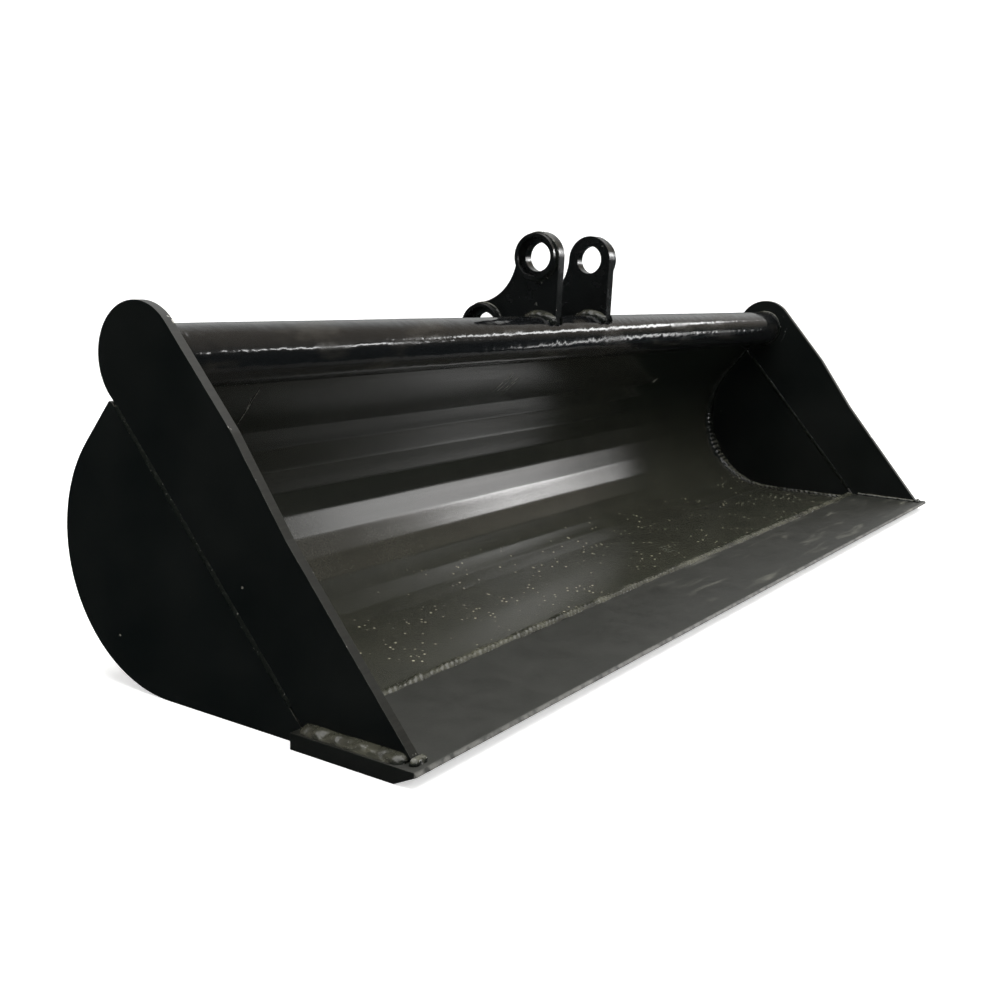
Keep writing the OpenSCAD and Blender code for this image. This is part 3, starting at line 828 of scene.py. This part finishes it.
class BUCKET_OT_sides(bpy.types.Operator):
    """Soften and paint the cheek plates and the side strips with their round lobes"""
    bl_idname = "bucket.sides"
    bl_label = "Cheek plates and side strips"

    def execute(self, context):
        for _, name in SIDES:
            refine_node(name + "_cheek_plate", side_plate_paint())
            refine_node(name + "_side_strip", side_plate_paint())
        return {"FINISHED"}


class BUCKET_OT_ears(bpy.types.Operator):
    """Soften and paint the two ear plates and their collars"""
    bl_idname = "bucket.ears"
    bl_label = "Ears and collars"

    def execute(self, context):
        for _, name in SIDES:
            for part in ("_ear", "_front_collar", "_rear_collar"):
                refine_node(name + part, ear_paint(), 0.6)
        return {"FINISHED"}


class BUCKET_OT_long_welds(bpy.types.Operator):
    """Lay the weld beads that run along the bucket's width, at the edge and at the tube"""
    bl_idname = "bucket.long_welds"
    bl_label = "Long welds"

    def execute(self, context):
        s = sizes()
        y_axis, z_axis = Vector((0, 1, 0)), Vector((0, 0, 1))
        ends = [at(x, (EDGE_BACK, s.shell_t / MM)) for x in (-IN_X + 0.5, IN_X - 0.5)]
        step = EDGE_TOP - s.shell_t / MM
        seam = Bead(11)
        seam.run([(p, y_axis, z_axis) for p in ends],
                 (((-6, step), (1.5, step + 6.6), (10, 0)), [(0.4, 0.4), (0.4, step - 0.2)]),
                 s.seam_pitch / MM, 1.6, 0.7)
        seam.piece("edge_seam_weld")

        path = shell_middle()
        back = (path[-1] - path[-2]).normalized()
        tube = Bead(23)
        for face in (1, -1):
            side = left_of(back) * face
            foot = TUBE + side * s.shell_t / MM / 2 - back * (TUBE_R - 0.1)
            runs = [(-IN_X + 1, IN_X - 1)] if face == 1 else [
                (-IN_X + 1, -EAR_OUT - 6), (-EAR_IN + 6, EAR_IN - 6), (EAR_OUT + 6, IN_X - 1)]
            for a, b in runs:
                tube.run([(at(x, foot), across(-back), across(side)) for x in (a, b)],
                         (((6, 0), (3.6, 4.6), (-1.2, 6.2)), [(0, 0)]), 7, 0.45, 0.5)
        tube.piece("tube_seam_weld")
        return {"FINISHED"}


class BUCKET_OT_side_welds(bpy.types.Operator):
    """Lay the weld beads that hold each side: shell, strip joint, ledge, foot and tube end"""
    bl_idname = "bucket.side_welds"
    bl_label = "Side welds"

    def execute(self, context):
        s = sizes()
        leg = s.fillet / MM
        seam_low = Vector((EDGE_BACK - 1.35, EDGE_TOP))
        seam_top = Vector((286.8, 213.3))
        seam = (seam_top - seam_low).normalized()
        foot_front = 10.5
        z_axis = Vector((0, 0, 1))
        for side, name in SIDES:
            inward = Vector((-side, 0, 0))
            outward = Vector((side, 0, 0))

            path = shell_face(True, 5)
            lift = normals(path)
            shell = Bead(31 + side)
            last = len(path) - 3
            # thin along the floor, heavy up the belly, and thinning again towards the tube
            shell.run([(at(side * IN_X, path[i]), inward, across(lift[i])) for i in range(1, last)],
                      fillet(leg * 1.75, leg * 0.95, 1.25), 7, 1.1, 0.9,
                      girth=lambda f: 0.36 + 0.64 * math.exp(-((f - 0.60) / 0.17) ** 2))
            shell.piece(name + "_shell_weld")

            joint = Bead(41 + side)
            for x, out, a, b in ((OUT_X, outward, 16, 268), (IN_X, inward, 9, 255)):
                ends = [at(side * x, seam_low + seam * d) for d in (a, b)]
                joint.run([(p, across(left_of(seam)), out) for p in ends],
                          (((-2.6, 0), (0, 1.7), (2.6, 0)), [(0, -0.3)]), 6, 0.35, 0.5, sunk=0.15)
            joint.piece(name + "_strip_weld")

            ledge = Bead(51 + side)
            ends = [at(side * OUT_X, (y, EDGE_TOP)) for y in (foot_front + 4, EDGE_BACK - 2)]
            ledge.run([(p, outward, z_axis) for p in ends], fillet(9.8, 5.5, 1.15), 12, 1.1, 1.6)
            ends = [at(side * x, (foot_front, EDGE_TOP)) for x in (OUT_X + 5, IN_X - 3)]
            ledge.run([(p, Vector((0, -1, 0)), z_axis) for p in ends], fillet(5, 4.5, 1.2), 8, 0.8, 1.2)
            ledge.piece(name + "_ledge_weld")

            foot = Bead(61 + side)
            ends = [at(side * IN_X, (y, EDGE_TOP)) for y in (foot_front + 2, EDGE_BACK - 9)]
            foot.run([(p, inward, z_axis) for p in ends], fillet(3.2, 3.2, 1.2), 7.5, 0.4, 0.5)
            foot.piece(name + "_foot_weld")

            ring = Bead(71 + side)
            ring.run(ring_stations(side * IN_X, -side, TUBE, TUBE_R), fillet(2.2, 2.8, 1.15),
                     7, 0.25, 0.3, closed=True)
            for k in range(14):
                a = 200 + 100 * wave(k, 1, 0, side + 2) + 9 * k
                reach = TUBE_R + 9 + 7 * abs(wave(k, 4, 0, side + 5))
                place = TUBE + turned(a % 360) * reach
                ring.lump(at(side * IN_X, place), inward, 0.7 + 0.9 * abs(wave(k, 8, 0, side)))
            for y, z, size in ((242, 259, 1.6), (232, 264, 1.3), (235, 248, 1.8), (227, 242, 1.4),
                               (248, 252, 1.1), (244, 241, 1.2)):
                ring.lump(at(side * IN_X, (y, z)), inward, size)
            ring.piece(name + "_tube_weld")
        return {"FINISHED"}


class BUCKET_OT_ear_welds(bpy.types.Operator):
    """Lay the weld beads round the ears: on the tube, down the back panel and at the collars"""
    bl_idname = "bucket.ear_welds"
    bl_label = "Ear welds"

    def execute(self, context):
        path = shell_middle()
        back = (path[-1] - path[-2]).normalized()
        rear = angle_of(-back) + 8
        front = angle_of(Vector((242 - TUBE.x, math.sqrt(TUBE_R ** 2 - (TUBE.x - 242) ** 2))))
        outer = shell_face(False, 5)
        belly = Vector((sizes().belly_y, sizes().belly_r)) / MM
        tail = [p for p in outer if p.x > belly.x and angle_of(p - belly) > 13][::-1]
        lift = [-n for n in normals(tail[::-1])][::-1]
        tail, lift = tail[5:], lift[5:]
        for side, name in SIDES:
            bead = Bead(81 + side)
            for x, grow in ((EAR_IN, -side), (EAR_OUT, side)):
                bead.run(ring_stations(side * x, grow, TUBE, TUBE_R - 0.1, rear, front),
                         fillet(7, 7.5, 1.2), 7, 0.7, 0.9)
                bead.run([(at(side * x, p), across(n), Vector((grow, 0, 0)))
                          for p, n in zip(tail, lift)], fillet(6.5, 6.5, 1.2), 7, 0.7, 0.9)
            bead.piece(name + "_ear_weld")

            collar = Bead(91 + side)
            for pin in PINS:
                collar.run(ring_stations(side * EAR_OUT, side, pin, TUBE_R), fillet(2.4, 2.4, 1.15),
                           6, 0.4, 0.6, closed=True)
            for k in range(8):
                a = 360 * abs(wave(k, 2, 0, side + 9)) * 3
                place = PINS[0] + turned(a) * (TUBE_R + 1.5)
                if (place - PINS[0]).length < 26:
                    collar.lump(at(side * EAR_OUT, place), Vector((side, 0, 0)), 1.0)
            collar.piece(name + "_collar_weld")
        return {"FINISHED"}


class BUCKET_OT_marks(bpy.types.Operator):
    """Scratch the paint where other steel has rubbed the inside of the back panel"""
    bl_idname = "bucket.marks"
    bl_label = "Handling marks"

    def execute(self, context):
        path = shell_middle()
        corner = path[-2]
        back = (path[-1] - path[-2]).normalized()
        lift = left_of(back)
        verts, faces = [], []
        # each scratch: start and end as (across, up the panel) and its width, in millimetres
        for start, end, width in (
                ((-455.7, 56), (-455, 13), 1.1), ((-459, 44), (-455.4, 30), 0.8),
                ((-78, 20), (-66, 46), 0.9), ((-70, 17), (-59, 42), 0.7),
                ((-60, 15), (-47, 39), 1.0), ((-52, 18), (-42, 36), 0.6),
                ((336, 2), (345, 8), 1.3), ((341, 0), (344, 9), 0.8)):
            a, b = Vector(start), Vector(end)
            wide = left_of((b - a).normalized())
            first = len(verts)
            steps = 10
            for i in range(steps + 1):
                t = i / steps
                p = a.lerp(b, t) + wide * 0.5 * wave(t * 3, a.x, 0, 7)
                half = width / 2 * math.sin(math.pi * (0.04 + 0.92 * t)) * (0.8 + 0.4 * wave(t * 6, b.x, 1, 8))
                for q, raised in ((p - wide * half, 0.1), (p, 0.35), (p + wide * half, 0.1), (p, -0.4)):
                    verts.append(at(q.x, corner + back * q.y + lift * (sizes().shell_t / MM / 2 + raised)))
            for i in range(steps):
                k = first + 4 * i
                faces += [(k + j, k + (j + 1) % 4, k + 4 + (j + 1) % 4, k + 4 + j) for j in range(4)]
            faces += [tuple(first + j for j in range(4)), tuple(first + 4 * steps + j for j in (3, 2, 1, 0))]
        mesh = bpy.data.meshes.new("handling_marks")
        mesh.from_pydata(verts, [], faces)
        mesh.materials.append(scratched_paint())
        piece = bpy.data.objects.new("handling_marks", mesh)
        context.scene.collection.objects.link(piece)
        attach(piece, BODY)
        return {"FINISHED"}


# ---- studio ----

class BUCKET_OT_studio(bpy.types.Operator):
    """Set up the pale round backdrop, the soft lights and the camera"""
    bl_idname = "bucket.studio"
    bl_label = "Studio"

    def execute(self, context):
        self.backdrop()
        self.surroundings()
        self.soft_light("Overhead softbox", (0.0, -0.2, 3.0), (0, 0, 0), (3.4, 3.4), 95)
        tube = [bpy.data.objects["torque_tube_drawn"]]
        rest = [o for o in context.scene.objects if o.type == "MESH" and o not in tube and "left_side_strip" not in o.name]
        # two panels that the belly's flats mirror, and two thin ones for the tube's line of light
        self.soft_light("Right front panel", (2.384, -1.669, 0.826), (0, 0, 0.1), (0.95, 0.63), 8.6, rest)
        self.soft_light("Right high panel", (2.555, -1.233, 1.077), (0, 0, 0.1), (0.39, 0.42), 8.5, rest)
        self.soft_light("Tube strip", (2.60, -1.00, 1.25), (0, 0, 0.25), (1.2, 0.20), 6.5, tube)
        self.soft_light("Tube front strip", (1.82, -1.85, 0.80), (0, 0, 0.25), (0.55, 0.13), 3.2, tube)
        self.soft_light("Front spot", (-0.35, -2.2, 1.9), (0, 0, 0.1), (0.14, 0.14), 8)
        self.low_reflector(tube)
        self.camera()
        context.scene.view_settings.view_transform = "Standard"
        return {"FINISHED"}

    def backdrop(self):
        """A pale floor that curves up all round into a wall."""
        profile = [(0.0, 0.0), (0.5, 0.0), (1.2, 0.0), (2.5, 0.0), (4.0, 0.0)]
        profile += [(4.0 + 2 * math.sin(math.radians(a)), 2 - 2 * math.cos(math.radians(a)))
                    for a in range(6, 91, 6)]
        profile.append((6.0, 4.0))
        spokes = 96
        verts, faces = [Vector((0, 0, 0))], []
        for r, z in profile[1:]:
            for k in range(spokes):
                a = 2 * math.pi * k / spokes
                verts.append(Vector((r * math.cos(a), r * math.sin(a), z)))
        for k in range(spokes):
            faces.append((0, 1 + k, 1 + (k + 1) % spokes))
        for r in range(len(profile) - 2):
            for k in range(spokes):
                a, b = 1 + r * spokes, 1 + (r + 1) * spokes
                j = (k + 1) % spokes
                faces.append((a + k, b + k, b + j, a + j))
        mesh = bpy.data.meshes.new("Backdrop")
        mesh.from_pydata(verts, [], faces)
        mesh.shade_smooth()
        made, tree, shader = start_material("Matt white studio paint")
        if tree:
            shader.inputs["Base Color"].default_value = linear("f2f2f2")
            shader.inputs["Roughness"].default_value = 0.9
            shader.inputs["Specular IOR Level"].default_value = 0.1
            shader.inputs["Emission Color"].default_value = linear("ffffff")
            shader.inputs["Emission Strength"].default_value = 0.45
        mesh.materials.append(made)
        floor = bpy.data.objects.new("Backdrop", mesh)
        bpy.context.scene.collection.objects.link(floor)
        floor.visible_glossy = False

    def surroundings(self):
        """What the paint reflects: a dim room, dark below and grey above."""
        world = bpy.data.worlds.new("Studio room")
        world.use_nodes = True
        tree = world.node_tree
        sky = tree.nodes["Background"]
        way = add(tree, "ShaderNodeTexCoord").outputs["Generated"]
        high = add(tree, "ShaderNodeSeparateXYZ", None, {0: way}).outputs["Z"]
        rise = add(tree, RANGE, SOFT, {"Value": high, "From Min": -0.05,
                                       "From Max": 0.45}).outputs["Result"]
        # how far a direction points to the right and a little back
        lean = add(tree, "ShaderNodeVectorMath", {"operation": "DOT_PRODUCT"},
                   {0: way, 1: (0.8, 0.6, 0.0)}).outputs["Value"]
        right = add(tree, RANGE, SOFT, {"Value": lean, "From Min": -0.3,
                                        "From Max": 0.35}).outputs["Result"]
        behind = add(tree, RANGE, SOFT, {"Value": lean, "From Min": 0.5,
                                         "From Max": 0.85}).outputs["Result"]
        above = add(tree, MIX, BLEND, {FACTOR: right, COLOUR_A: [0.10, 0.115, 0.11, 1],
                                       COLOUR_B: [0.40, 0.36, 0.30, 1]}).outputs[COLOUR]
        above = add(tree, MIX, BLEND, {FACTOR: behind, COLOUR_A: above,
                                       COLOUR_B: [0.80, 0.81, 0.80, 1]}).outputs[COLOUR]
        glow = add(tree, MIX, BLEND, {FACTOR: rise, COLOUR_A: [0.020, 0.028, 0.028, 1],
                                      COLOUR_B: above}).outputs[COLOUR]
        tree.links.new(glow, sky.inputs["Color"])
        sky.inputs["Strength"].default_value = 1.0
        bpy.context.scene.world = world

    @staticmethod
    def shine_on(source, subjects):
        """The source lights only these pieces, as a flagged lamp does."""
        group = bpy.data.collections.new(source.name + " subjects")
        for piece in subjects:
            group.objects.link(piece)
        source.light_linking.receiver_collection = group

    def soft_light(self, name, place, aim, size, power, subjects=None):
        light = bpy.data.lights.new(name, "AREA")
        light.shape = "RECTANGLE"
        light.size, light.size_y = size
        light.energy = power
        lamp = bpy.data.objects.new(name, light)
        lamp.location = place
        lamp.rotation_euler = (Vector(aim) - Vector(place)).to_track_quat("-Z", "Y").to_euler()
        lamp.visible_camera = False
        bpy.context.scene.collection.objects.link(lamp)
        if subjects:
            self.shine_on(lamp, subjects)

    def low_reflector(self, subjects):
        """A long low strip on the floor at the right that only the gloss paint mirrors."""
        near, far = Vector((0.46, -0.26, 0)), Vector((6.0, -2.55, 0))
        verts = [near, far, far + Vector((0, 0, 0.50)), near + Vector((0, 0, 0.05))]
        mesh = bpy.data.meshes.new("Low reflector")
        mesh.from_pydata(verts, [], [(0, 1, 2, 3)])
        made, tree, shader = start_material("Glowing white film")
        if tree:
            shader.inputs["Base Color"].default_value = linear("000000")
            shader.inputs["Emission Color"].default_value = linear("ffffff")
            shader.inputs["Emission Strength"].default_value = 7.0
        mesh.materials.append(made)
        strip = bpy.data.objects.new("Low_reflector", mesh)
        strip.visible_camera = False
        strip.visible_diffuse = False
        strip.visible_shadow = False
        self.shine_on(strip, subjects)
        bpy.context.scene.collection.objects.link(strip)

    def camera(self):
        """Low front left view, looking along the width and slightly down."""
        yaw, pitch, roll = (math.radians(a) for a in (56.51, 12.13, 2.18))
        ahead = Vector((math.sin(yaw) * math.cos(pitch), math.cos(yaw) * math.cos(pitch),
                        -math.sin(pitch)))
        right = Vector((math.cos(yaw), -math.sin(yaw), 0))
        up = right.cross(ahead)
        side = right * math.cos(roll) + up * math.sin(roll)
        top = up * math.cos(roll) - right * math.sin(roll)
        turn = Matrix((side, top, -ahead)).transposed().to_4x4()
        lens = bpy.data.cameras.new("Camera")
        lens.lens = 42.78
        lens.sensor_width = 36
        lens.shift_x = 0.0147
        lens.shift_y = 0.0269
        lens.clip_start = 0.02
        view = bpy.data.objects.new("Camera", lens)
        view.matrix_world = Matrix.Translation((-1.1568, -0.5839, 0.3139)) @ turn
        bpy.context.scene.collection.objects.link(view)
        bpy.context.scene.camera = view


STEPS = ("shell", "edge", "tube", "sides", "ears", "long_welds", "side_welds", "ear_welds", "marks", "studio")


class BUCKET_PT_panel(bpy.types.Panel):
    bl_idname = "BUCKET_PT_panel"
    bl_label = "Ditching Bucket"
    bl_space_type = "VIEW_3D"
    bl_region_type = "UI"
    bl_category = "Bucket"

    def draw(self, context):
        layout = self.layout
        for group in (context.scene.bucket_sizes, context.scene.bucket_colours):
            box = layout.box()
            for name in group.__annotations__:
                box.prop(group, name)
        for step in STEPS:
            layout.operator("bucket." + step)


CLASSES = (
    BucketSizes, BucketColours, BUCKET_OT_shell, BUCKET_OT_edge, BUCKET_OT_tube, BUCKET_OT_sides,
    BUCKET_OT_ears, BUCKET_OT_long_welds, BUCKET_OT_side_welds, BUCKET_OT_ear_welds,
    BUCKET_OT_marks, BUCKET_OT_studio, BUCKET_PT_panel,
)


def register():
    for each in CLASSES:
        bpy.utils.register_class(each)
    bpy.types.Scene.bucket_sizes = bpy.props.PointerProperty(type=BucketSizes)
    bpy.types.Scene.bucket_colours = bpy.props.PointerProperty(type=BucketColours)


def unregister():
    del bpy.types.Scene.bucket_sizes
    del bpy.types.Scene.bucket_colours
    for each in reversed(CLASSES):
        bpy.utils.unregister_class(each)


def main():
    register()
    for step in STEPS:
        getattr(bpy.ops.bucket, step)()


if __name__ == "__main__":
    main()
